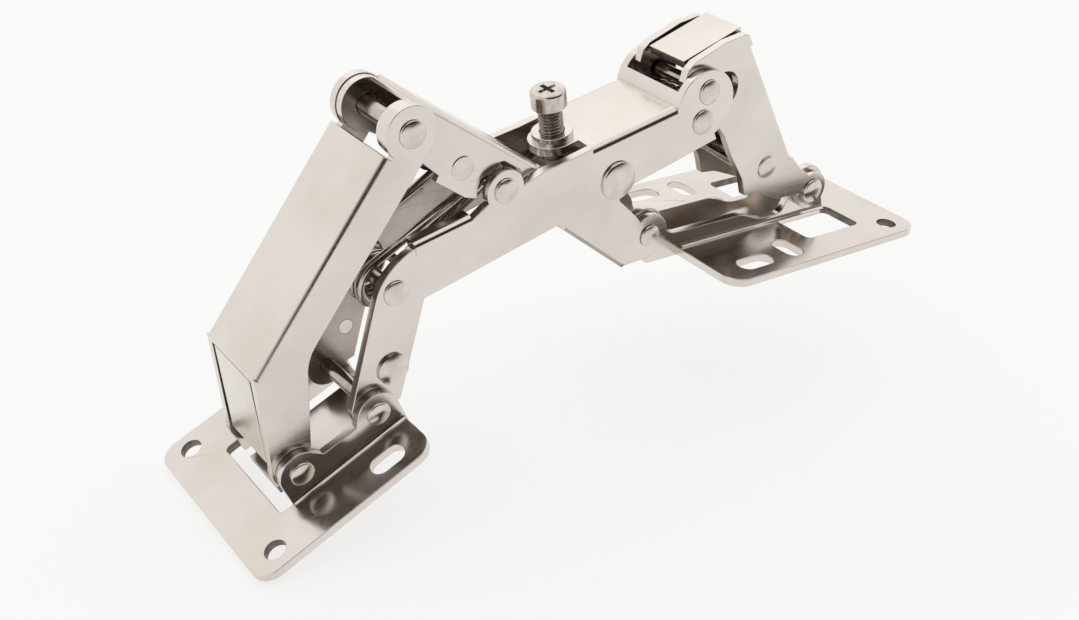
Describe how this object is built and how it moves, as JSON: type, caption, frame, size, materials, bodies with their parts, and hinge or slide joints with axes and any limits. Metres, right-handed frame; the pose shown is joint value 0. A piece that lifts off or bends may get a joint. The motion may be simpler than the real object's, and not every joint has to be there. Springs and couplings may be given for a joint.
{
  "type": "concealed cabinet hinge",
  "caption": "Wide-opening concealed hinge of folded nickel-plated sheet: a door plate and a cabinet plate joined by riveted channel arms, with wire springs and an adjusting screw.",
  "frame": {"origin": "middle of the cabinet plate's mounting face", "axes": "+X from the door side to the cabinet side along the cabinet plate, +Y across the hinge towards the far side, +Z out of the cabinet plate's mounting face"},
  "size_m": [0.1645, 0.048, 0.082],
  "materials": {
    "sheet": "satin",
    "rivet": "satin",
    "screw": "satin",
    "spring_wire": "satin"
  },
  "bodies": {
    "cabinet_side": {"cabinet_plate": "sheet", "cabinet_inner_pivot": "rivet", "cabinet_link_pivot": "rivet"},
    "inner_group": {"inner_arm": "sheet", "inner_tie": "rivet"},
    "bridge_group": {"bridge": "sheet", "main_pivot": "rivet", "anchor_pin": "rivet", "door_coil_pin": "rivet", "link_coil_pin": "rivet", "bridge_link_pivot": "rivet", "stop_buttons": "rivet", "door_spring_near": "spring_wire", "door_spring_far": "spring_wire", "link_spring_near": "spring_wire", "link_spring_far": "spring_wire"},
    "outer_group": {"outer_arm": "sheet", "top_pivot": "rivet", "outer_arm_pin": "rivet"},
    "door_side": {"door_plate": "sheet", "door_bridge_pivot": "rivet", "door_rivets": "rivet"},
    "link_group": {"link": "sheet", "link_tie": "rivet"},
    "screw": {"adjusting_screw": "screw"}
  },
  "joints": [
    {"name": "inner_swing", "type": "hinge", "parent": "cabinet_side", "child": "inner_group", "pos_m": [-0.0396, 0, 0.0079], "axis": [0, 1, 0], "range_deg": [0, 24]},
    {"name": "bridge_swing", "type": "hinge", "parent": "inner_group", "child": "bridge_group", "pos_m": [-0.0518, 0, 0.0236], "axis": [0, 1, 0], "range_deg": [-30.81, 0], "deforming": ["door_spring_near", "door_spring_far"]},
    {"name": "outer_swing", "type": "hinge", "parent": "inner_group", "child": "outer_group", "pos_m": [-0.0994, 0, 0.0416], "axis": [0, 1, 0], "range_deg": [-25.19, 0]},
    {"name": "door_swing", "type": "hinge", "parent": "bridge_group", "child": "door_side", "pos_m": [-0.1058, 0, -0.0118], "axis": [0, 1, 0], "range_deg": [0, 96.9]},
    {"name": "link_swing", "type": "hinge", "parent": "cabinet_side", "child": "link_group", "pos_m": [0.0089, 0, 0.0081], "axis": [0, 1, 0], "range_deg": [0, 9.54], "deforming": ["link_spring_near", "link_spring_far"]},
    {"name": "screw_turn", "type": "hinge", "parent": "bridge_group", "child": "screw", "pos_m": [-0.06134, 0, 0.031], "axis": [-0.2213, 0, 0.9752], "range_deg": [-360, 360]}
  ],
  "couplings": [
    {"joint": "bridge_swing", "follows": "inner_swing", "ratio": -1.2837},
    {"joint": "outer_swing", "follows": "inner_swing", "ratio": -1.0493},
    {"joint": "door_swing", "follows": "inner_swing", "ratio": 4.0374},
    {"joint": "link_swing", "follows": "inner_swing", "ratio": 0.3975}
  ]
}
